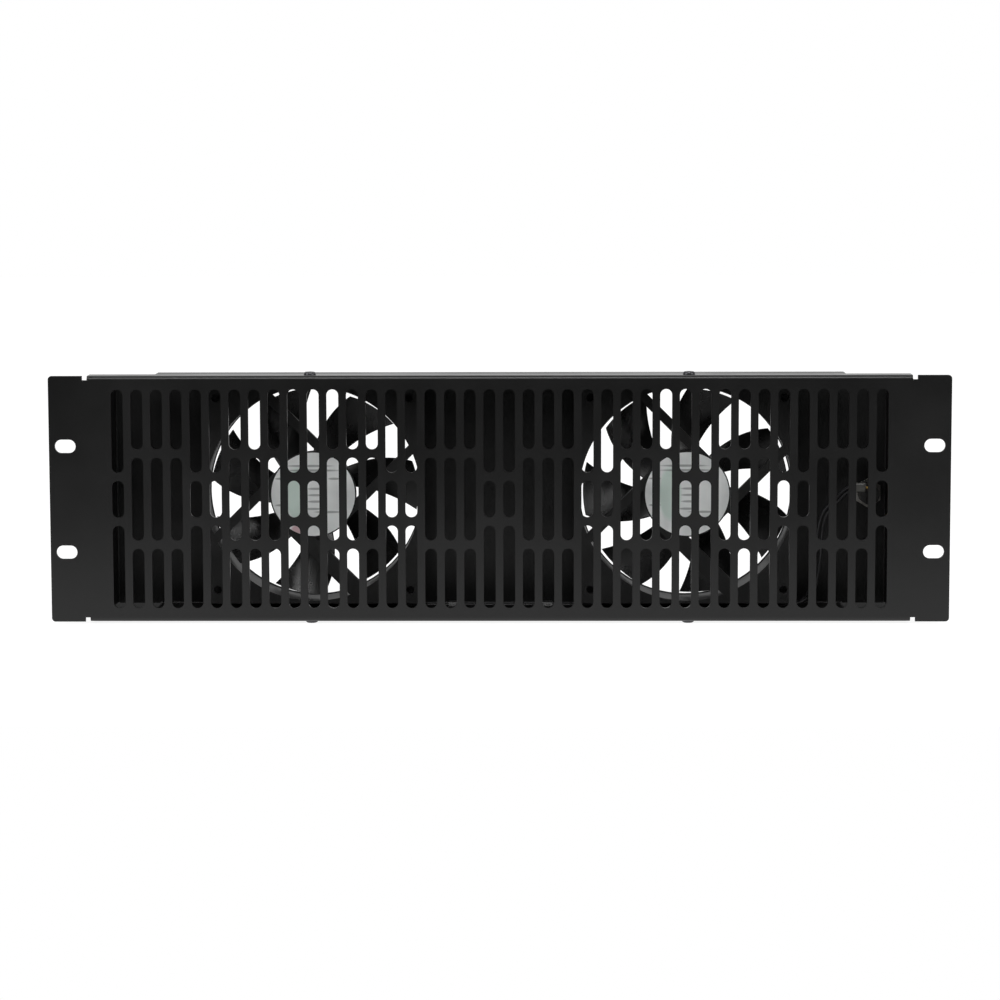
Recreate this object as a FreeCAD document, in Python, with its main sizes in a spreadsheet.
import FreeCAD, Part
import math
import os
import Sketcher

# A 19-inch, 3U rack fan tray: a slotted front panel, a formed tray behind it, and two 120 mm axial fans.
# Frame: +X right, +Y into the rack, +Z up. The origin is the centre of the four rack holes, on the back
# face of the ears, which is the face that lies on the rack rails. Millimetres and degrees throughout.

SIZES = {
    # front panel: EIA-310 width and hole spacing, 3 rack units high
    "sheet_thickness": 1.5,
    "bend_radius": 0.8,
    "panel_width": 482.6,
    "panel_height": 132.6,
    "ear_corner_radius": 2.0,
    "ear_width": 20.8,
    "front_flange_depth": 12.7,
    "relief_width": 2.6,
    "rack_slot_inset": 8.75,
    "rack_spacing_up": 57.15,
    "rack_slot_length": 11.2,
    "rack_slot_height": 7.2,
    # vent slots: groups of five columns, long-short-long at the ends and medium-long-medium between
    "vent_side_margin": 12.77,
    "vent_width": 6.35,
    "vent_border": 7.3,
    "vent_short": 19.8,
    "vent_bridge": 4.4,
    "vent_groups": 8,
    # rear tray
    "overall_depth": 50.8,
    "tray_side_gap": 7.0,
    "tray_corner_gap": 25.5,
    "tray_flange_taper": 8.0,
    "tray_front_gap": 1.2,
    "tray_corner_drop": 1.6,
    "side_return_inset": 2.0,
    "tray_relief_width": 0.4,
    "fan_opening_lip": 0.5,
    "tray_hole_diameter": 4.6,
    # screws and clinch nuts that join the tray to the panel
    "fan_to_side": 51.9,
    "flange_screw_setback": 8.0,
    "flange_screw_diameter": 3.5,
    "flange_screw_head_diameter": 6.6,
    "flange_screw_head_height": 1.6,
    "flange_screw_length": 6.0,
    "flange_hole_clearance": 0.2,
    "clinch_nut_wall": 1.4,
    "clinch_nut_height": 2.4,
    "thread_clearance": 0.05,
    # fan frame
    "fan_to_flange": 3.3,
    "fan_thickness": 25.0,
    "fan_corner_radius": 4.0,
    "fan_rim": 1.5,
    "fan_wall": 1.4,
    "fan_flange_thickness": 4.4,
    "fan_hole_inset": 7.5,
    "fan_hole_diameter": 4.4,
    "mount_overhang": 1.5,
    "mount_thickness": 3.0,
    "strut_offset": 20.5,
    "strut_width": 5.0,
    "strut_depth": 3.6,
    "lead_strut_width": 9.0,
    "first_strut_angle": 45.0,
    "lead_strut_angle": 315.0,
    "tube_wall": 1.0,
    "tube_floor": 1.0,
    "label_margin": 0.7,
    "label_thickness": 0.2,
    # impeller
    "hub_diameter": 44.0,
    "hub_wall": 1.2,
    "hub_cap": 1.4,
    "hub_boss_wall": 1.68,
    "hub_gap": 1.0,
    "rear_gap": 2.0,
    "blade_count": 7,
    "tip_gap": 2.1,
    "blade_sweep": 18.6,
    "blade_span_root": 31.0,
    "blade_span_tip": 28.0,
    "blade_front_root": 1.6,
    "blade_front_tip": 4.6,
    "blade_rear_root": 0.8,
    "blade_rear_tip": 2.2,
    "blade_thickness_root": 2.2,
    "blade_thickness_tip": 1.5,
    "blade_edge": 0.8,
    "blade_camber": 0.07,
    "left_phase": 15.2,
    "right_phase": -15.6,
    # motor and bearings
    "running_clearance": 0.02,
    "end_float": 0.3,
    "shaft_diameter": 3.0,
    "shaft_clip_groove": 0.3,
    "shaft_clip_rise": 1.0,
    "shaft_clip_thickness": 0.5,
    "bearing_diameter": 8.0,
    "bearing_width": 4.0,
    "bearing_shoulder": 0.7,
    "bearing_span": 14.2,
    "spring_margin": 1.2,
    "spring_thickness": 0.4,
    "yoke_wall": 1.1,
    "yoke_length": 15.0,
    "magnet_wall": 1.9,
    "magnet_length": 10.0,
    "air_gap": 0.45,
    "stator_length": 7.0,
    "stator_ring_wall": 3.0,
    "pole_count": 4,
    "pole_neck_width": 4.0,
    "pole_shoe_thickness": 2.0,
    "pole_shoe_angle": 72.0,
    "coil_build": 1.8,
    "coil_clearance": 0.1,
    "board_thickness": 1.0,
    "board_margin": 2.26,
    "board_to_stator": 2.6,
    # fan screws, driven from behind the tray
    "fan_screw_head_diameter": 8.0,
    "fan_screw_head_height": 2.4,
    "fan_screw_length": 9.0,
    # power inlet jack in the tray's right end
    "inlet_inset": 11.5,
    "inlet_z": -2.0,
    "inlet_hole_diameter": 11.0,
    "inlet_flange_lip": 1.0,
    "inlet_flange_thickness": 1.8,
    "inlet_length": 14.0,
    "inlet_bore_diameter": 5.6,
    "inlet_bore_depth": 9.5,
    "inlet_pin_diameter": 2.1,
    "inlet_nut_wall": 1.5,
    "inlet_nut_thickness": 2.2,
    "tag_width": 2.4,
    "tag_thickness": 0.5,
    "tag_length": 4.0,
    "tag_spacing": 5.0,
    # leads, their splice and their clips
    "lead_diameter": 1.5,
    "lead_spacing": 1.8,
    "lead_exit_x": 26.0,
    "left_lead_lane": 12.2,
    "right_lead_lane": 8.2,
    "splice_length": 6.4,
    "splice_depth": 5.0,
    "splice_height": 5.2,
    "splice_to_inlet": 6.6,
    "splice_behind_fan_face": 2.2,
    "splice_rise": 5.2,
    "clip_length": 7.0,
    "clip_width": 8.0,
    "clip_wall": 0.9,
    "clip_spacing": 50.0,
}

# Sizes that follow another piece's size through the named clearances above, as formulas in the same sheet.
TIED_SIZES = {
    "front_flange_length": "panel_width - 2 * ear_width",
    "rack_spacing_across": "panel_width - 2 * rack_slot_inset",
    "vent_pitch": "(front_flange_length - 2 * vent_side_margin - vent_width) / (vent_groups * 5 - 1)",
    "vent_field_height": "panel_height - 2 * vent_border",
    "vent_long": "(vent_field_height - vent_short) / 2 - vent_bridge",
    "tray_width": "front_flange_length - 2 * tray_side_gap",
    "tray_flange_length": "tray_width - 2 * tray_corner_gap",
    "side_return_height": "panel_height - 2 * (sheet_thickness + side_return_inset)",
    "fan_size": "panel_height - 2 * (2 * sheet_thickness + fan_to_flange)",
    "fan_bore_diameter": "fan_size - 2 * fan_rim",
    "fan_hole_spacing": "fan_size - 2 * fan_hole_inset",
    "tray_opening_diameter": "fan_bore_diameter - 2 * fan_opening_lip",
    "fan_spacing": "tray_width - 2 * fan_to_side - fan_size",
    "flange_hole_diameter": "flange_screw_diameter + 2 * flange_hole_clearance",
    "clinch_nut_diameter": "flange_screw_diameter + 2 * (thread_clearance + clinch_nut_wall)",
    "mount_diameter": "hub_diameter + 2 * mount_overhang",
    "label_diameter": "mount_diameter - 2 * label_margin",
    "hub_boss_diameter": "shaft_diameter + 2 * (running_clearance + hub_boss_wall)",
    "shaft_clip_diameter": "shaft_diameter + 2 * shaft_clip_rise",
    "spring_diameter": "bearing_diameter - 2 * spring_margin",
    "board_diameter": "hub_diameter - 2 * (hub_wall + yoke_wall + magnet_wall"
    " + 2 * running_clearance + board_margin)",
    "inlet_x": "tray_width / 2 - inlet_inset",
    "inlet_flange_diameter": "inlet_hole_diameter + 2 * inlet_flange_lip",
    "inlet_nut_across_flats": "inlet_hole_diameter + 2 * inlet_nut_wall",
    "left_lead_y": "overall_depth - 2 * sheet_thickness - fan_thickness + left_lead_lane",
    "right_lead_y": "overall_depth - 2 * sheet_thickness - fan_thickness + right_lead_lane",
    "splice_x": "inlet_x - splice_to_inlet",
    "splice_y": "overall_depth - 2 * sheet_thickness - fan_thickness + splice_behind_fan_face",
    "splice_z": "inlet_z + splice_rise",
}


class Size:
    """A length worked out from the sheet: its number, and the expression that FreeCAD keeps bound to it."""

    def __init__(self, number, text):
        self.number = float(number)
        self.text = text

    def __add__(self, other):
        other = as_size(other)
        return Size(self.number + other.number, f"({self.text} + {other.text})")

    def __sub__(self, other):
        other = as_size(other)
        return Size(self.number - other.number, f"({self.text} - {other.text})")

    def __mul__(self, other):
        other = as_size(other)
        return Size(self.number * other.number, f"({self.text} * {other.text})")

    def __truediv__(self, other):
        other = as_size(other)
        return Size(self.number / other.number, f"({self.text} / {other.text})")

    def __neg__(self):
        return Size(-self.number, f"(0 - {self.text})")

    __radd__ = __add__
    __rmul__ = __mul__

    def __rsub__(self, other):
        return as_size(other) - self

    def __float__(self):
        return self.number


def as_size(value):
    return value if isinstance(value, Size) else Size(value, f"{float(value):.6f}")


def root(value):
    return Size(math.sqrt(value.number), f"sqrt({value.text})")


def tangent(angle):
    return Size(math.tan(math.radians(angle.number)), f"tan({angle.text})")


def sine(angle):
    return Size(math.sin(math.radians(angle.number)), f"sin({angle.text})")


def cosine(angle):
    return Size(math.cos(math.radians(angle.number)), f"cos({angle.text})")


doc = FreeCAD.newDocument("rack_fan_tray")
sheet = doc.addObject("Spreadsheet::Sheet", "sizes")
cells = {name: str(value) for name, value in SIZES.items()}
cells.update({name: f"={formula}" for name, formula in TIED_SIZES.items()})
for row, (name, cell) in enumerate(cells.items(), start=1):
    sheet.set(f"A{row}", name)
    sheet.setAlias(f"B{row}", name)
    sheet.set(f"B{row}", cell)
doc.recompute()


def size(name):
    return Size(sheet.get(name), f"sizes.{name}")


parts = []

# ---------------------------------------------------------------- sketches and features


def new_body(label, several=False):
    body = doc.addObject("PartDesign::Body", label)
    body.Label = label
    body.AllowCompound = several
    parts.append(body)
    return body


def origin_item(body, role):
    return next(item for item in body.Origin.OriginFeatures if item.Role == role)


def new_sketch(body, name, plane, height=None, turn=None):
    """A sketch on one of the body's origin planes, raised along its normal or turned about it."""
    sketch = body.newObject("Sketcher::SketchObject", name)
    sketch.AttachmentSupport = [(origin_item(body, plane), "")]
    sketch.MapMode = "FlatFace"
    if height is not None:
        sketch.AttachmentOffset = FreeCAD.Placement(FreeCAD.Vector(0, 0, height.number), FreeCAD.Rotation())
        sketch.setExpression("AttachmentOffset.Base.z", height.text)
    if turn is not None:
        about_normal = FreeCAD.Rotation(FreeCAD.Vector(0, 0, 1), turn.number)
        sketch.AttachmentOffset = FreeCAD.Placement(FreeCAD.Vector(), about_normal)
        sketch.setExpression("AttachmentOffset.Rotation.Angle", turn.text)
    return sketch


def bind_constraint(sketch, constraint, value):
    index = sketch.addConstraint(constraint)
    sketch.setExpression(f"Constraints[{index}]", value.text)


def pin(sketch, geometry, position, across, up):
    """Holds one point of the sketch at its distances from the sketch's origin."""
    for kind, axis, value in (("DistanceX", -2, as_size(across)), ("DistanceY", -1, as_size(up))):
        if abs(value.number) < 1e-9:
            sketch.addConstraint(Sketcher.Constraint("PointOnObject", geometry, position, axis))
        elif value.number > 0:
            bind_constraint(sketch, Sketcher.Constraint(kind, -1, 1, geometry, position, value.number), value)
        else:
            flipped = -value
            held = Sketcher.Constraint(kind, geometry, position, -1, 1, flipped.number)
            bind_constraint(sketch, held, flipped)


def outline(sketch, points):
    """A closed outline. A point (across, up) starts a straight side; (across, up, radius) starts an arc of
    that radius, which turns anticlockwise when the radius is positive and clockwise when it is negative."""
    first = sketch.GeometryCount
    places = [FreeCAD.Vector(float(point[0]), float(point[1]), 0) for point in points]
    count = len(points)
    radii = []
    for index, point in enumerate(points):
        start, end = places[index], places[(index + 1) % count]
        if len(point) == 2:
            sketch.addGeometry(Part.LineSegment(start, end), False)
            continue
        radius = as_size(point[2])
        half = (end - start) * 0.5
        rise = math.sqrt(max(radius.number**2 - half.Length**2, 0.0))
        side = 1.0 if radius.number > 0 else -1.0
        centre = start + half + FreeCAD.Vector(-half.y, half.x, 0).normalize() * rise * side
        angles = [math.atan2((p - centre).y, (p - centre).x) for p in (start, end)]
        circle = Part.Circle(centre, FreeCAD.Vector(0, 0, 1), abs(radius.number))
        low, high = angles if side > 0 else angles[::-1]
        sketch.addGeometry(Part.ArcOfCircle(circle, low, high), False)
        radii.append((first + index, radius if side > 0 else -radius))
    backwards = {g for g, _ in radii if points[g - first][2].number < 0}
    for index in range(count):
        here, after = first + index, first + (index + 1) % count
        ends = (1 if here in backwards else 2, 2 if after in backwards else 1)
        sketch.addConstraint(Sketcher.Constraint("Coincident", here, ends[0], after, ends[1]))
    for index, point in enumerate(points):
        here = first + index
        pin(sketch, here, 2 if here in backwards else 1, point[0], point[1])
    for here, radius in radii:
        bind_constraint(sketch, Sketcher.Constraint("Radius", here, radius.number), radius)


def circle(sketch, across, up, radius):
    shape = Part.Circle(FreeCAD.Vector(float(across), float(up), 0), FreeCAD.Vector(0, 0, 1), float(radius))
    index = sketch.addGeometry(shape, False)
    pin(sketch, index, 3, across, up)
    bind_constraint(sketch, Sketcher.Constraint("Radius", index, radius.number), radius)


def box_outline(sketch, left, bottom, right, top):
    outline(sketch, [(left, bottom), (right, bottom), (right, top), (left, top)])


def obround(sketch, first, second, radius):
    """A slot with round ends, given by its ends' centres; second lies above or to the right of first."""
    start, end = [FreeCAD.Vector(float(across), float(up), 0) for across, up in (first, second)]
    along = (end - start).normalize()
    side = FreeCAD.Vector(-along.y, along.x, 0) * radius.number
    facing = math.atan2(side.y, side.x)
    normal = FreeCAD.Vector(0, 0, 1)
    base = sketch.GeometryCount
    far_circle = Part.Circle(end, normal, radius.number)
    near_circle = Part.Circle(start, normal, radius.number)
    sketch.addGeometry(Part.ArcOfCircle(far_circle, facing - math.pi, facing), False)
    sketch.addGeometry(Part.LineSegment(end + side, start + side), False)
    sketch.addGeometry(Part.ArcOfCircle(near_circle, facing, facing + math.pi), False)
    sketch.addGeometry(Part.LineSegment(start - side, end - side), False)
    for step in range(4):
        sketch.addConstraint(Sketcher.Constraint("Tangent", base + step, 2, base + (step + 1) % 4, 1))
    sketch.addConstraint(Sketcher.Constraint("Equal", base, base + 2))
    bind_constraint(sketch, Sketcher.Constraint("Radius", base, radius.number), radius)
    pin(sketch, base, 3, *second)
    pin(sketch, base + 2, 3, *first)


def upright_slot(sketch, across, bottom, top, width):
    """A round-ended slot that stands up, given by its overall bottom and top."""
    radius = width / 2
    obround(sketch, (across, bottom + radius), (across, top - radius), radius)


def level_slot(sketch, across, up, length, height):
    """A round-ended slot that lies level, given by its centre and overall length."""
    radius = height / 2
    reach = length / 2 - radius
    obround(sketch, (across - reach, up), (across + reach, up), radius)


def pad(body, sketch, name, length, reverse=False, middle=False):
    feature = body.newObject("PartDesign::Pad", name)
    feature.Profile = sketch
    feature.Length = length.number
    feature.setExpression("Length", length.text)
    feature.Reversed = reverse
    feature.Midplane = middle
    sketch.Visibility = False
    return feature


def cut_through(body, sketch, name):
    feature = body.newObject("PartDesign::Pocket", name)
    feature.Profile = sketch
    feature.Type = "ThroughAll"
    feature.Midplane = True
    return feature


def turn(body, sketch, name, axis, cut=False):
    """A full revolution of a sketch about its own horizontal or vertical axis."""
    kind = "PartDesign::Groove" if cut else "PartDesign::Revolution"
    feature = body.newObject(kind, name)
    feature.Profile = sketch
    feature.ReferenceAxis = (sketch, [axis])
    feature.Angle = 360
    return feature


def mirrored(body, feature, name, plane):
    copy = body.newObject("PartDesign::Mirrored", name)
    copy.Originals = [feature]
    copy.MirrorPlane = (origin_item(body, plane), [""])
    body.Tip = copy
    return copy


def row_pattern(body, name, axis, length, count):
    pattern = body.newObject("PartDesign::LinearPattern", name)
    pattern.Direction = (origin_item(body, axis), [""])
    pattern.Length = length.number
    pattern.setExpression("Length", length.text)
    pattern.Occurrences = int(count.number)
    pattern.setExpression("Occurrences", count.text)
    return pattern


def ring_pattern(body, feature, name, count):
    pattern = body.newObject("PartDesign::PolarPattern", name)
    pattern.Originals = [feature]
    pattern.Axis = (origin_item(body, "Y_Axis"), [""])
    pattern.Angle = 360
    pattern.Occurrences = int(count.number)
    pattern.setExpression("Occurrences", count.text)
    body.Tip = pattern
    return pattern


def repeat(body, features, name, steps):
    """Applies a chain of patterns and mirrors to features that were just made."""
    transform = body.newObject("PartDesign::MultiTransform", name)
    transform.Originals = features
    transform.Transformations = steps
    body.Tip = transform
    return transform


def mirror_step(body, name, plane):
    step = body.newObject("PartDesign::Mirrored", name)
    step.MirrorPlane = (origin_item(body, plane), [""])
    return step


def place(thing, across, deep, up, spin=0.0):
    """Puts a sub-part in the tray's frame; spin turns it about +Y."""
    values = [as_size(value) for value in (across, deep, up)]
    rotation = FreeCAD.Rotation(FreeCAD.Vector(0, 1, 0), float(spin))
    thing.Placement = FreeCAD.Placement(FreeCAD.Vector(*[value.number for value in values]), rotation)
    for axis, value in zip("xyz", values):
        thing.setExpression(f"Placement.Base.{axis}", value.text)


def turned_body(label, points, across, deep, up, spin=0.0):
    """A turned piece: its profile is (along the axis, radius) points, and its axis is parallel to Y."""
    body = new_body(label)
    profile = new_sketch(body, f"{label}_profile", "YZ_Plane")
    outline(profile, points)
    turn(body, profile, f"{label}_turned", "H_Axis")
    place(body, across, deep, up, spin)
    return body


def ring_points(start, end, inner, outer):
    return [(start, inner), (end, inner), (end, outer), (start, outer)]


# ---------------------------------------------------------------- shared levels and places

sheet_thickness = size("sheet_thickness")
bend_inside = size("bend_radius")
bend_outside = bend_inside + sheet_thickness
panel_half_height = size("panel_height") / 2
tray_half_height = panel_half_height - sheet_thickness
panel_front = -sheet_thickness
tray_rear = size("overall_depth") - sheet_thickness
tray_plate_front = tray_rear - sheet_thickness
tray_front = size("tray_front_gap")
fan_front = tray_plate_front - size("fan_thickness")
fan_x = {"left": -size("fan_spacing") / 2, "right": size("fan_spacing") / 2}
flange_screw_y = size("flange_screw_setback") - sheet_thickness
clearance = size("running_clearance")
shaft_radius = size("shaft_diameter") / 2
bearing_radius = size("bearing_diameter") / 2
tube_radius = bearing_radius + size("tube_wall")
hub_radius = size("hub_diameter") / 2
hub_front = size("mount_thickness") + size("hub_gap")
hub_rear = size("fan_thickness") - size("rear_gap")
cavity_radius = hub_radius - size("hub_wall")
cavity_rear = hub_rear - size("hub_cap")
front_bearing = size("mount_thickness") + size("running_clearance")
rear_bearing = front_bearing + size("bearing_span") - size("bearing_width")
rear_bearing_end = front_bearing + size("bearing_span")
spring_end = rear_bearing_end + size("spring_thickness")
boss_front = spring_end + size("end_float")
magnet_outer = cavity_radius - clearance - size("yoke_wall") - clearance
magnet_inner = magnet_outer - size("magnet_wall")
stator_radius = magnet_inner - size("air_gap")
stator_front = size("mount_thickness") + size("board_thickness") + size("board_to_stator")
tip_radius = size("fan_bore_diameter") / 2 - size("tip_gap")

# ---------------------------------------------------------------- sheet metal


def bent_flange(sketch, edge, far, thickness_at, forward):
    """The section of a flange: a quarter bend off a flat sheet, then a straight run to its free edge.
    edge is the flange's outer face, far its free edge, thickness_at the sheet's outer face, and forward is
    +1 where the flange runs towards larger values of the first coordinate and -1 where it runs back."""
    inner_face = thickness_at + forward * sheet_thickness
    run_start = inner_face + forward * bend_inside
    corner = edge - bend_outside
    outline(
        sketch,
        [
            (thickness_at, corner, bend_outside * -forward),
            (run_start, edge),
            (far, edge),
            (far, edge - sheet_thickness),
            (run_start, edge - sheet_thickness, bend_inside * forward),
            (inner_face, corner),
        ],
    )


def make_front_panel():
    """One folded sheet: flat ears, and between their relief notches a panel with a flange above and below.
    Its faces aren't merged, so the back of each ear, which bears on the rack's rail, is a face of its own."""
    body = new_body("front_panel")
    half_width = size("panel_width") / 2
    ear_start = size("front_flange_length") / 2 + size("relief_width")
    shoulder = panel_half_height - bend_outside
    middle = new_sketch(body, "panel_middle", "XZ_Plane")
    box_outline(middle, -ear_start, -shoulder, ear_start, shoulder)
    pad(body, middle, "panel_sheet", sheet_thickness).Refine = False
    corner = size("ear_corner_radius")
    ear = new_sketch(body, "ear_outline", "XZ_Plane")
    outline(
        ear,
        [
            (ear_start, -panel_half_height),
            (half_width - corner, -panel_half_height, corner),
            (half_width, -panel_half_height + corner),
            (half_width, panel_half_height - corner, corner),
            (half_width - corner, panel_half_height),
            (ear_start, panel_half_height),
        ],
    )
    right_ear = pad(body, ear, "right_ear", sheet_thickness)
    right_ear.Refine = False
    mirrored(body, right_ear, "left_ear", "YZ_Plane").Refine = False

    section = new_sketch(body, "front_flange_section", "YZ_Plane")
    flange_edge = panel_front + size("front_flange_depth")
    bent_flange(section, panel_half_height, flange_edge, panel_front, 1)
    upper = pad(body, section, "upper_front_flange", size("front_flange_length"), middle=True)
    upper.Refine = False
    mirrored(body, upper, "lower_front_flange", "XY_Plane").Refine = False

    holes = new_sketch(body, "front_flange_holes", "XY_Plane")
    for side in ("left", "right"):
        circle(holes, fan_x[side], flange_screw_y, size("flange_hole_diameter") / 2)
    cut_through(body, holes, "front_flange_hole_cut").Refine = False

    slots = new_sketch(body, "rack_slot_outline", "XZ_Plane")
    for across in (-1, 1):
        for up in (-1, 1):
            slot_x = across * size("rack_spacing_across") / 2
            slot_z = up * size("rack_spacing_up") / 2
            level_slot(slots, slot_x, slot_z, size("rack_slot_length"), size("rack_slot_height"))
    cut_through(body, slots, "rack_slot_cut").Refine = False

    pitch = size("vent_pitch")
    groups = size("vent_groups")
    top = size("vent_field_height") / 2
    width = size("vent_width")
    bridge = size("vent_bridge")
    long_slot = size("vent_long")
    columns = new_sketch(body, "vent_group", "XZ_Plane")
    first_column = -(groups * 5 - 1) / 2 * pitch
    for column in range(5):
        across = first_column + column * pitch
        middle_half = top - long_slot - bridge if column in (0, 4) else long_slot / 2
        upright_slot(columns, across, middle_half + bridge, top, width)
        upright_slot(columns, across, -middle_half, middle_half, width)
        upright_slot(columns, across, -top, -middle_half - bridge, width)
    group = cut_through(body, columns, "vent_group_cut")
    group.Refine = False
    every_group = row_pattern(body, "vent_row", "X_Axis", (groups - 1) * 5 * pitch, groups)
    every_group.Originals = [group]
    every_group.Refine = False
    body.Tip = every_group
    return body


def make_rear_tray():
    """A shallow pan: the fan plate, flanges that nest in the panel's, and a return at each side.
    Past the flanges' ends the plate runs on to just under the flanges' level and closes the corners."""
    body = new_body("rear_tray")
    half_width = size("tray_width") / 2
    plate = new_sketch(body, "tray_plate_outline", "XZ_Plane")
    plate_half_width = half_width - bend_outside
    plate_half_height = tray_half_height - bend_outside
    corner_start = size("tray_flange_length") / 2 + size("tray_relief_width")
    corner_half_height = tray_half_height - size("tray_corner_drop")
    corners = [
        (plate_half_width, corner_half_height),
        (corner_start, corner_half_height),
        (corner_start, plate_half_height),
        (-corner_start, plate_half_height),
        (-corner_start, corner_half_height),
        (-plate_half_width, corner_half_height),
    ]
    outline(plate, corners + [(across, -up) for across, up in reversed(corners)])
    for side in ("left", "right"):
        circle(plate, fan_x[side], 0, size("tray_opening_diameter") / 2)
        for across in (-1, 1):
            for up in (-1, 1):
                reach = size("fan_hole_spacing") / 2
                circle(plate, fan_x[side] + across * reach, up * reach, size("tray_hole_diameter") / 2)
    circle(plate, size("inlet_x"), size("inlet_z"), size("inlet_hole_diameter") / 2)
    pad(body, plate, "tray_plate", sheet_thickness)

    front_edge = tray_front - tray_rear
    section = new_sketch(body, "tray_flange_section", "YZ_Plane")
    bent_flange(section, tray_half_height, front_edge, as_size(0), -1)
    upper = pad(body, section, "upper_tray_flange", size("tray_flange_length"), middle=True)
    mirrored(body, upper, "lower_tray_flange", "XY_Plane")

    side_section = new_sketch(body, "side_return_section", "XY_Plane")
    inner_face = -sheet_thickness
    run_start = inner_face - bend_inside
    outline(
        side_section,
        [
            (plate_half_width, as_size(0)),
            (plate_half_width, inner_face, -bend_inside),
            (half_width - sheet_thickness, run_start),
            (half_width - sheet_thickness, front_edge),
            (half_width, front_edge),
            (half_width, run_start, bend_outside),
        ],
    )
    right = pad(body, side_section, "right_side_return", size("side_return_height"), middle=True)
    mirrored(body, right, "left_side_return", "YZ_Plane")

    flange_half = size("tray_flange_length") / 2
    taper = size("tray_flange_taper")
    ends = new_sketch(body, "flange_end_tapers", "XY_Plane")
    for direction in (1, -1):
        outer, inner = direction * flange_half, direction * (flange_half - taper)
        corners = [(outer, front_edge - 1), (outer, front_edge + taper * 2), (inner, front_edge - 1)]
        outline(ends, corners[::direction])
    for side in ("left", "right"):
        circle(ends, fan_x[side], flange_screw_y - tray_rear, size("flange_hole_diameter") / 2)
    cut_through(body, ends, "flange_end_and_hole_cut")
    place(body, 0, tray_rear, 0)
    return body


# ---------------------------------------------------------------- fasteners between panel and tray


def make_flange_fasteners():
    """Pan-head screws down through both flanges, and the clinch nuts under the tray's flanges."""
    under_head = panel_half_height
    head_top = under_head + size("flange_screw_head_height")
    tip = under_head - size("flange_screw_length")
    shank = size("flange_screw_diameter") / 2
    head = size("flange_screw_head_diameter") / 2
    nut_top = tray_half_height - sheet_thickness
    nut_bore = shank + size("thread_clearance")
    nut_bottom = nut_top - size("clinch_nut_height")
    screw = [
        (0, tip),
        (shank, tip),
        (shank, under_head),
        (head, under_head),
        (head, head_top - shank / 2),
        (head - shank / 2, head_top),
        (0, head_top),
    ]
    nut = ring_points_up(nut_bore, size("clinch_nut_diameter") / 2, nut_bottom, nut_top)
    shapes = {"flange_screws": screw, "clinch_nuts": nut}
    for label, points in shapes.items():
        body = new_body(label, several=True)
        profile = new_sketch(body, f"{label}_profile", "XZ_Plane")
        outline(profile, points)
        one = turn(body, profile, f"{label}_turned", "V_Axis")
        along = row_pattern(body, f"{label}_row", "X_Axis", size("fan_spacing"), as_size(2))
        across = mirror_step(body, f"{label}_mirror", "XY_Plane")
        repeat(body, [one], f"{label}_set", [along, across])
        place(body, fan_x["left"], flange_screw_y, 0)


def ring_points_up(inner, outer, bottom, top):
    return [(inner, bottom), (outer, bottom), (outer, top), (inner, top)]


# ---------------------------------------------------------------- fan


def make_fan_frame(side):
    """Moulded frame: a shroud between two square flanges, four slanted struts, and the motor mount."""
    body = new_body(f"{side}_fan_frame")
    half = size("fan_size") / 2
    bore = size("fan_bore_diameter") / 2
    depth = size("fan_thickness")
    flange = size("fan_flange_thickness")
    shroud_outer = bore + size("fan_wall")
    shroud = new_sketch(body, f"{side}_shroud_section", "YZ_Plane")
    outline(shroud, ring_points(as_size(0), depth, bore, shroud_outer))
    turn(body, shroud, f"{side}_shroud", "H_Axis")

    corner = size("fan_corner_radius")
    square = new_sketch(body, f"{side}_flange_outline", "XZ_Plane")
    inner = half - corner
    outline(
        square,
        [
            (-inner, -half),
            (inner, -half, corner),
            (half, -inner),
            (half, inner, corner),
            (inner, half),
            (-inner, half, corner),
            (-half, inner),
            (-half, -inner, corner),
        ],
    )
    circle(square, 0, 0, bore)
    hole_reach = size("fan_hole_spacing") / 2
    for across in (-1, 1):
        for up in (-1, 1):
            circle(square, across * hole_reach, up * hole_reach, size("fan_hole_diameter") / 2)
    front_flange = pad(body, square, f"{side}_front_flange", flange, reverse=True)
    flanges = row_pattern(body, f"{side}_both_flanges", "Y_Axis", depth - flange, as_size(2))
    flanges.Originals = [front_flange]
    body.Tip = flanges

    struts = [("strut", size("strut_width"), size("first_strut_angle")),
              ("lead_strut", size("lead_strut_width"), size("lead_strut_angle"))]
    offset = size("strut_offset")
    reach = root(bore * bore - offset * offset) + size("fan_wall") / 2
    for kind, width, angle in struts:
        bar = new_sketch(body, f"{side}_{kind}_outline", "XZ_Plane", turn=angle)
        box_outline(bar, as_size(0), -offset - width / 2, reach, -offset + width / 2)
        strut = pad(body, bar, f"{side}_{kind}", size("strut_depth"), reverse=True)
        if kind == "strut":
            ring_pattern(body, strut, f"{side}_struts", as_size(4))

    mount = new_sketch(body, f"{side}_mount_section", "YZ_Plane")
    floor = size("tube_floor")
    shoulder = bearing_radius - size("bearing_shoulder")
    outline(
        mount,
        [
            (as_size(0), as_size(0)),
            (floor, as_size(0)),
            (floor, bearing_radius),
            (front_bearing + size("bearing_width"), bearing_radius),
            (front_bearing + size("bearing_width"), shoulder),
            (rear_bearing, shoulder),
            (rear_bearing, bearing_radius),
            (rear_bearing_end, bearing_radius),
            (rear_bearing_end, tube_radius),
            (size("mount_thickness"), tube_radius),
            (size("mount_thickness"), size("mount_diameter") / 2),
            (as_size(0), size("mount_diameter") / 2),
        ],
    )
    turn(body, mount, f"{side}_motor_mount", "H_Axis")
    place(body, fan_x[side], fan_front, 0)
    return body


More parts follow.
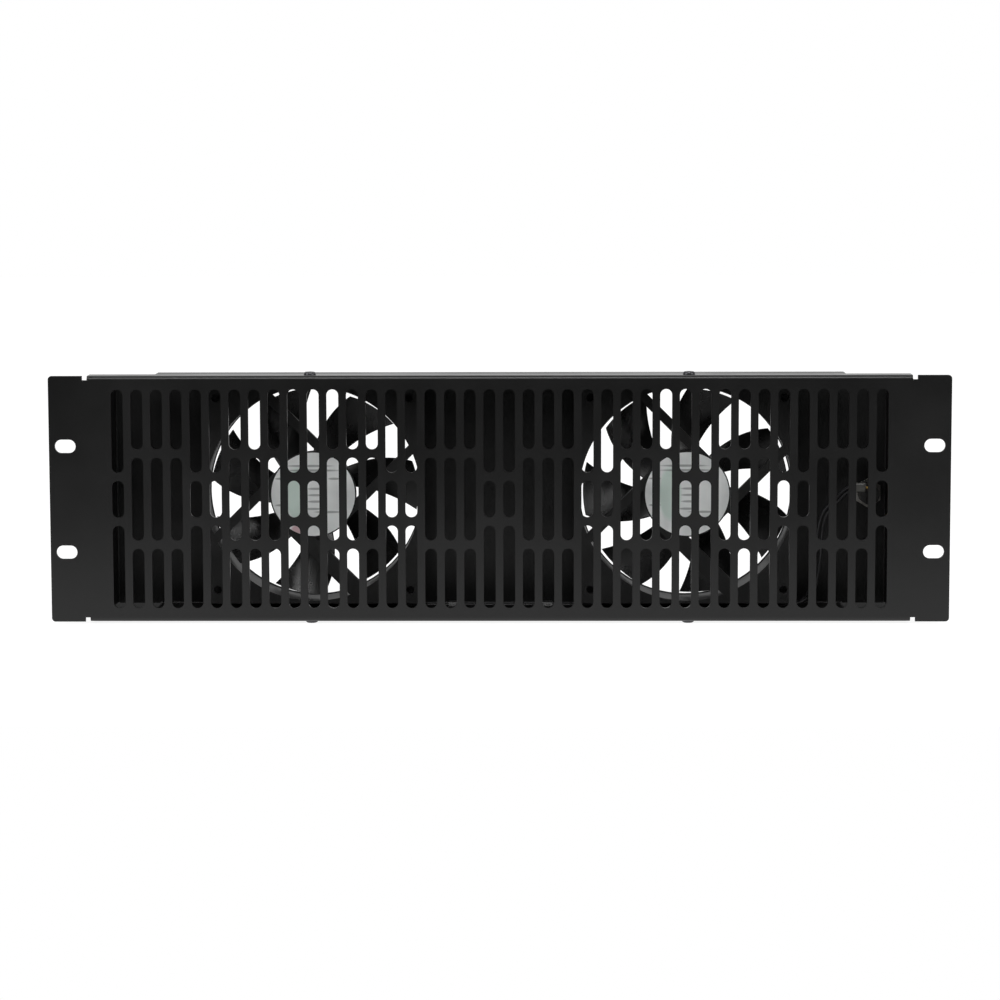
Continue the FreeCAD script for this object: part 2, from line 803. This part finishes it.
def blade_section(body, side, name, radius, share):
    """One cross-section of a blade, square to the blade's radius: two cambered faces and two edges.
    share runs from 0 at the hub to 1 at the tip."""
    lean = size("blade_sweep") * (1 - share)
    span = size("blade_span_root") + (size("blade_span_tip") - size("blade_span_root")) * share
    root_thickness = size("blade_thickness_root")
    thick = root_thickness + (size("blade_thickness_tip") - root_thickness) * share
    front_root = size("blade_front_root")
    front = hub_front + front_root + (size("blade_front_tip") - front_root) * share
    rear = hub_rear - size("blade_rear_root") - (size("blade_rear_tip") - size("blade_rear_root")) * share
    tail_x = -radius * tangent(lean + span / 2)
    nose_x = -radius * tangent(lean - span / 2)
    run_x, run_y = nose_x - tail_x, rear - front
    chord = root(run_x * run_x + run_y * run_y)
    edge = size("blade_edge") / 2
    step_x, step_y = run_y / chord * edge, run_x / chord * edge

    def face_radius(rise):
        return (chord * chord / 4 + rise * rise) / (rise * 2)

    bow = chord * size("blade_camber")
    back_rise = bow + thick / 2 - edge
    face_rise = bow - thick / 2 + edge
    sketch = new_sketch(body, f"{side}_blade_{name}", "XY_Plane", height=radius)
    outline(
        sketch,
        [
            (tail_x + step_x, front - step_y, -face_radius(face_rise)),
            (nose_x + step_x, rear - step_y),
            (nose_x - step_x, rear + step_y, face_radius(back_rise)),
            (tail_x - step_x, front + step_y),
        ],
    )
    return sketch


def make_impeller(side):
    """Seven swept, twisted blades lofted from hub to tip round a hub cup, open towards the motor mount."""
    body = new_body(f"{side}_impeller")
    plug = new_sketch(body, f"{side}_hub_section", "YZ_Plane")
    outline(plug, [(hub_front, as_size(0)), (hub_rear, as_size(0)), (hub_rear, hub_radius - size("hub_wall")),
                   (hub_rear - size("hub_wall"), hub_radius), (hub_front, hub_radius)])
    turn(body, plug, f"{side}_hub", "H_Axis")
    root_angle = size("blade_sweep") + size("blade_span_root") / 2
    root_radius = hub_radius * cosine(root_angle) - size("hub_wall") / 2
    middle_radius = (hub_radius + tip_radius) / 2
    outer_radius = tip_radius + size("tip_gap")

    def share(radius):
        return (radius - hub_radius) / (tip_radius - hub_radius)

    sections = [
        blade_section(body, side, "root", root_radius, share(root_radius)),
        blade_section(body, side, "middle", middle_radius, share(middle_radius)),
        blade_section(body, side, "tip", outer_radius, share(outer_radius)),
    ]
    blade = body.newObject("PartDesign::AdditiveLoft", f"{side}_blade")
    blade.Profile = sections[0]
    blade.Sections = sections[1:]
    ring_pattern(body, blade, f"{side}_blades", size("blade_count"))

    trim = new_sketch(body, f"{side}_tip_trim", "YZ_Plane")
    outline(trim, ring_points(as_size(0), size("fan_thickness"), tip_radius, tip_radius * 2))
    turn(body, trim, f"{side}_tip_cut", "H_Axis", cut=True)
    cavity = new_sketch(body, f"{side}_hub_cavity", "YZ_Plane")
    boss = size("hub_boss_diameter") / 2
    press = shaft_radius + clearance
    outline(
        cavity,
        [
            (as_size(0), as_size(0)),
            (hub_rear - size("hub_cap") / 2, as_size(0)),
            (hub_rear - size("hub_cap") / 2, press),
            (boss_front, press),
            (boss_front, boss),
            (cavity_rear, boss),
            (cavity_rear, cavity_radius),
            (as_size(0), cavity_radius),
        ],
    )
    turn(body, cavity, f"{side}_hub_hollow", "H_Axis", cut=True)
    place(body, fan_x[side], fan_front, 0, -size(f"{side}_phase"))
    return body


def make_rotor_pieces(side):
    """The steel yoke and ring magnet in the hub, and the shaft in its boss with a clip at the far end."""
    place_at = (fan_x[side], fan_front, 0)
    yoke_outer = cavity_radius - clearance
    yoke_front = cavity_rear - size("yoke_length")
    yoke = ring_points(yoke_front, cavity_rear, magnet_outer + clearance, yoke_outer)
    turned_body(f"{side}_rotor_yoke", yoke, *place_at)
    magnet_front = stator_front + size("stator_length") / 2 - size("magnet_length") / 2
    magnet = ring_points(magnet_front, magnet_front + size("magnet_length"), magnet_inner, magnet_outer)
    turned_body(f"{side}_rotor_magnet", magnet, *place_at)

    clip_rear = front_bearing - size("end_float")
    clip_front = clip_rear - size("shaft_clip_thickness")
    groove_radius = shaft_radius - size("shaft_clip_groove")
    shaft_front = clip_front - size("shaft_clip_thickness")
    shaft_rear = hub_rear - size("hub_cap") / 2 - clearance
    turned_body(
        f"{side}_rotor_shaft",
        [
            (shaft_front, as_size(0)),
            (shaft_rear, as_size(0)),
            (shaft_rear, shaft_radius),
            (clip_rear + clearance, shaft_radius),
            (clip_rear + clearance, groove_radius),
            (clip_front - clearance, groove_radius),
            (clip_front - clearance, shaft_radius),
            (shaft_front, shaft_radius),
        ],
        *place_at,
    )
    clip = ring_points(clip_front, clip_rear, groove_radius + clearance, size("shaft_clip_diameter") / 2)
    turned_body(f"{side}_shaft_clip", clip, *place_at)


def make_motor_pieces(side):
    """What stays still in the motor: two ball bearings and their wave spring, the stator, coils and board."""
    place_at = (fan_x[side], fan_front, 0)
    bore = shaft_radius + clearance
    rim = bearing_radius - clearance
    for name, start in (("front", front_bearing), ("rear", rear_bearing)):
        bearing = ring_points(start, start + size("bearing_width"), bore, rim)
        turned_body(f"{side}_{name}_bearing", bearing, *place_at)
    spring = ring_points(rear_bearing_end, spring_end, bore + clearance * 5, size("spring_diameter") / 2)
    turned_body(f"{side}_bearing_spring", spring, *place_at)

    board_rear = size("mount_thickness") + size("board_thickness")
    board_rim = size("board_diameter") / 2
    board = ring_points(size("mount_thickness"), board_rear, tube_radius + clearance, board_rim)
    turned_body(f"{side}_motor_board", board, *place_at)

    core = new_body(f"{side}_stator_core")
    ring_inner = tube_radius + clearance
    ring_outer = ring_inner + size("stator_ring_wall")
    ring = new_sketch(core, f"{side}_stator_ring_section", "YZ_Plane")
    outline(ring, ring_points(stator_front, stator_front + size("stator_length"), ring_inner, ring_outer))
    turn(core, ring, f"{side}_stator_ring", "H_Axis")
    neck = size("pole_neck_width") / 2
    half_shoe = size("pole_shoe_angle") / 2
    shoe_inner = stator_radius - size("pole_shoe_thickness")
    neck_out = root(shoe_inner * shoe_inner - neck * neck)
    across_inner, up_inner = shoe_inner * cosine(half_shoe), shoe_inner * sine(half_shoe)
    across_outer, up_outer = stator_radius * cosine(half_shoe), stator_radius * sine(half_shoe)
    pole = new_sketch(core, f"{side}_pole_outline", "XZ_Plane", height=-stator_front)
    outline(
        pole,
        [
            (ring_inner + size("stator_ring_wall") / 2, -neck),
            (neck_out, -neck, -shoe_inner),
            (across_inner, -up_inner),
            (across_outer, -up_outer, stator_radius),
            (across_outer, up_outer),
            (across_inner, up_inner, -shoe_inner),
            (neck_out, neck),
            (ring_inner + size("stator_ring_wall") / 2, neck),
        ],
    )
    pole_pad = pad(core, pole, f"{side}_pole", size("stator_length"), reverse=True)
    ring_pattern(core, pole_pad, f"{side}_poles", size("pole_count"))
    place(core, *place_at)

    coils = new_body(f"{side}_stator_coils", several=True)
    inner_gap = size("coil_clearance")
    build = size("coil_build")
    start = ring_outer + inner_gap
    coil_half = neck + inner_gap + build
    length = root(shoe_inner * shoe_inner - coil_half * coil_half) - inner_gap - start
    winding = new_sketch(coils, f"{side}_winding_outline", "YZ_Plane", height=start)
    low, high = stator_front - inner_gap, stator_front + size("stator_length") + inner_gap
    side_in = neck + inner_gap
    box_outline(winding, low - build, -side_in - build, high + build, side_in + build)
    box_outline(winding, low, -side_in, high, side_in)
    coil = pad(coils, winding, f"{side}_winding", length)
    ring_pattern(coils, coil, f"{side}_windings", size("pole_count"))
    place(coils, *place_at)


def make_fan_screws(side):
    """Four self-tapping screws through the tray's plate into the fan's rear flange."""
    label = f"{side}_fan_screws"
    body = new_body(label, several=True)
    shank = size("fan_hole_diameter") / 2 - size("thread_clearance")
    head = size("fan_screw_head_diameter") / 2
    height = size("fan_screw_head_height")
    profile = new_sketch(body, f"{label}_profile", "YZ_Plane")
    outline(profile, [(-size("fan_screw_length"), 0), (height, 0), (height, head - height / 2),
                      (height / 2, head), (0, head), (0, shank), (-size("fan_screw_length"), shank)])
    one = turn(body, profile, f"{label}_turned", "H_Axis")
    spacing = size("fan_hole_spacing")
    along = row_pattern(body, f"{label}_along", "X_Axis", spacing, as_size(2))
    up = row_pattern(body, f"{label}_up", "Z_Axis", spacing, as_size(2))
    repeat(body, [one], f"{label}_set", [along, up])
    place(body, fan_x[side] - spacing / 2, tray_rear, -spacing / 2)


def make_label(side):
    """The round sticker on the motor mount."""
    label = ring_disc(-size("label_thickness"), as_size(0), size("label_diameter") / 2)
    turned_body(f"{side}_fan_label", label, fan_x[side], fan_front, 0)


def ring_disc(start, end, radius):
    return [(start, as_size(0)), (end, as_size(0)), (end, radius), (start, radius)]


# ---------------------------------------------------------------- power inlet


def make_power_inlet():
    """A panel-mount DC jack: its flange outside the tray, its threaded barrel and solder tags inside."""
    body = new_body("power_inlet")
    barrel = size("inlet_hole_diameter") / 2 - size("thread_clearance") * 2
    bore = size("inlet_bore_diameter") / 2
    pin_radius = size("inlet_pin_diameter") / 2
    inner_end = -size("inlet_length")
    flange = size("inlet_flange_thickness")
    section = new_sketch(body, "inlet_section", "YZ_Plane")
    outline(
        section,
        [
            (inner_end, as_size(0)),
            (flange / 2, as_size(0)),
            (flange / 2, pin_radius),
            (flange - size("inlet_bore_depth"), pin_radius),
            (flange - size("inlet_bore_depth"), bore),
            (flange, bore),
            (flange, size("inlet_flange_diameter") / 2),
            (as_size(0), size("inlet_flange_diameter") / 2),
            (as_size(0), barrel),
            (inner_end, barrel),
        ],
    )
    turn(body, section, "inlet_turned", "H_Axis")
    tags = new_sketch(body, "inlet_tag_outline", "XZ_Plane", height=-inner_end)
    half = size("tag_width") / 2
    for up in (-1, 1):
        middle = up * size("tag_spacing") / 2
        box_outline(tags, -half, middle - size("tag_thickness") / 2, half, middle + size("tag_thickness") / 2)
    pad(body, tags, "inlet_tags", size("tag_length"))
    place(body, size("inlet_x"), tray_rear, size("inlet_z"))

    nut = new_body("power_inlet_nut")
    radius = size("inlet_nut_across_flats") / math.sqrt(3)
    profile = new_sketch(nut, "inlet_nut_outline", "XZ_Plane")
    turns = [math.radians(30 + 60 * step) for step in range(6)]
    outline(profile, [(radius * round(math.cos(a), 9), radius * round(math.sin(a), 9)) for a in turns])
    circle(profile, 0, 0, size("inlet_hole_diameter") / 2)
    pad(nut, profile, "inlet_nut", size("inlet_nut_thickness"))
    place(nut, size("inlet_x"), tray_plate_front, size("inlet_z"))


# ---------------------------------------------------------------- leads


def wire_path(points):
    """Straight runs joined by tangent arcs, each arc as large as its two runs allow."""
    edges = []
    start = points[0]
    for index in range(1, len(points) - 1):
        before, corner, after = points[index - 1], points[index], points[index + 1]
        back, ahead = before - corner, after - corner
        half_turn = (math.pi - back.getAngle(ahead)) / 2
        reach = 0.45 * min(back.Length, ahead.Length)
        back.normalize()
        ahead.normalize()
        entry, leave = corner + back * reach, corner + ahead * reach
        radius = reach / math.tan(half_turn)
        middle = (back + ahead).normalize()
        top = corner + middle * (radius / math.cos(half_turn) - radius)
        edges.append(Part.LineSegment(start, entry).toShape())
        edges.append(Part.Arc(entry, top, leave).toShape())
        start = leave
    edges.append(Part.LineSegment(start, points[-1]).toShape())
    return Part.Wire(edges)


def wire_solid(points, diameter):
    path = wire_path(points)
    first = path.Edges[0]
    ring = Part.makeCircle(diameter / 2, points[0], first.tangentAt(first.FirstParameter))
    tube = path.makePipeShell([Part.Wire([ring])], True, False)
    straight = path.Length * math.pi * diameter**2 / 4
    print(f"  lead length {path.Length:.1f}, volume over section times length {tube.Volume / straight:.4f}")
    return tube


def make_leads():
    """Black lead pairs from each fan along the tray's floor to a splice, then two wires to the jack."""
    at = FreeCAD.Vector
    diameter = size("lead_diameter").number
    spacing = size("lead_spacing").number
    floor = -(tray_half_height - sheet_thickness).number
    low = floor + diameter / 2 + size("thread_clearance").number * 4
    splice_left = (size("splice_x") - size("splice_length") / 2).number
    splice_right = (size("splice_x") + size("splice_length") / 2).number
    splice_y = size("splice_y").number
    splice_z = size("splice_z").number
    shroud = (size("fan_bore_diameter") / 2 + size("fan_wall")).number
    exit_x = size("lead_exit_x").number
    exit_z = -math.sqrt(shroud**2 - (exit_x - diameter / 2) ** 2)
    rows = {"left": 1.0, "right": -1.0}
    for side in ("left", "right"):
        solids = []
        for number in (-1, 1):
            deep = size(f"{side}_lead_y").number + number * spacing / 2
            into = at(splice_left, splice_y + number * spacing / 2, splice_z + rows[side] * spacing / 2)
            aside = rows[side] * spacing * 0.6
            start_x = fan_x[side].number + exit_x
            points = [
                at(start_x, deep, exit_z),
                at(start_x, deep, low),
                at(splice_left - 23 - aside, deep, low),
                at(splice_left - 18.5 - aside, deep - 2, low + 24),
                at(splice_left - 18 - aside, into.y + 2, splice_z - 17 + aside / 2),
                at(splice_left - 11 - aside / 2, into.y, into.z - 8),
                into - at(2.6 + aside * 0.6, 0, 0),
                into,
            ]
            solids.append(wire_solid(points, diameter))
        leads = doc.addObject("Part::Feature", f"{side}_fan_leads")
        leads.Label = f"{side}_fan_leads"
        leads.Shape = Part.makeCompound(solids)
        parts.append(leads)

    inlet = at(size("inlet_x").number, tray_rear.number, size("inlet_z").number)
    tag_y = inlet.y - (size("inlet_length") + size("tag_length") / 2).number
    for name, up in (("black_inlet_wire", 1), ("yellow_inlet_wire", -1)):
        tag_z = inlet.z + up * (size("tag_spacing") / 2 + size("tag_thickness") / 2).number
        away = up * 7.0
        start = at(splice_right, splice_y + up * spacing / 2, splice_z)
        points = [
            start,
            start + at(3.2, 0, 0),
            at(splice_right + 2.4, start.y + 1.5, tag_z + away),
            at(inlet.x, tag_y, tag_z + away),
            at(inlet.x, tag_y, tag_z),
        ]
        wire = doc.addObject("Part::Feature", name)
        wire.Label = name
        wire.Shape = wire_solid(points, diameter)
        parts.append(wire)


def make_lead_fittings():
    """The crimped splice where the leads meet, and the stuck-on clips that hold them to the tray's floor."""
    splice = new_body("lead_splice")
    section = new_sketch(splice, "splice_outline", "YZ_Plane")
    deep, high = size("splice_depth") / 2, size("splice_height") / 2
    box_outline(section, -deep, -high, deep, high)
    pad(splice, section, "splice_block", size("splice_length"), middle=True)
    place(splice, size("splice_x"), size("splice_y"), size("splice_z"))

    clips = new_body("lead_clips", several=True)
    profile = new_sketch(clips, "clip_outline", "YZ_Plane")
    half = size("clip_width") / 2
    wall = size("clip_wall")
    tunnel_half = size("lead_spacing") / 2 + size("lead_diameter") / 2 + size("thread_clearance") * 4
    tunnel_top = size("lead_diameter") + size("thread_clearance") * 8
    outline(
        profile,
        [
            (-half, as_size(0)),
            (-tunnel_half, as_size(0)),
            (-tunnel_half, tunnel_top),
            (tunnel_half, tunnel_top),
            (tunnel_half, as_size(0)),
            (half, as_size(0)),
            (half, wall),
            (tunnel_half + wall, tunnel_top + wall),
            (-tunnel_half - wall, tunnel_top + wall),
            (-half, wall),
        ],
    )
    one = pad(clips, profile, "clip", size("clip_length"), middle=True)
    along = row_pattern(clips, "clip_row", "X_Axis", size("clip_spacing"), as_size(2))
    along.Originals = [one]
    clips.Tip = along
    floor = -(tray_half_height - sheet_thickness)
    place(clips, -size("clip_spacing") / 2, size("left_lead_y"), floor)


# ---------------------------------------------------------------- build, check and write

make_front_panel()
make_rear_tray()
make_flange_fasteners()
for fan_side in ("left", "right"):
    make_fan_frame(fan_side)
    make_label(fan_side)
    make_impeller(fan_side)
    make_rotor_pieces(fan_side)
    make_motor_pieces(fan_side)
    make_fan_screws(fan_side)
make_power_inlet()
make_leads()
make_lead_fittings()
doc.recompute()

for item in doc.Objects:
    if "Invalid" in item.State or "Error" in item.State:
        raise RuntimeError(f"{item.Label} failed: {item.State}")
for part in parts:
    if part.Shape.isNull() or not part.Shape.isValid() or not part.Shape.Solids:
        raise RuntimeError(f"{part.Label} has no valid solid")

os.makedirs("parts", exist_ok=True)
for part in parts:
    part.Shape.exportStep(os.path.join("parts", f"{part.Label}.step"))
    print(f"{part.Label}: {len(part.Shape.Solids)} solid(s), volume {part.Shape.Volume:.1f}")
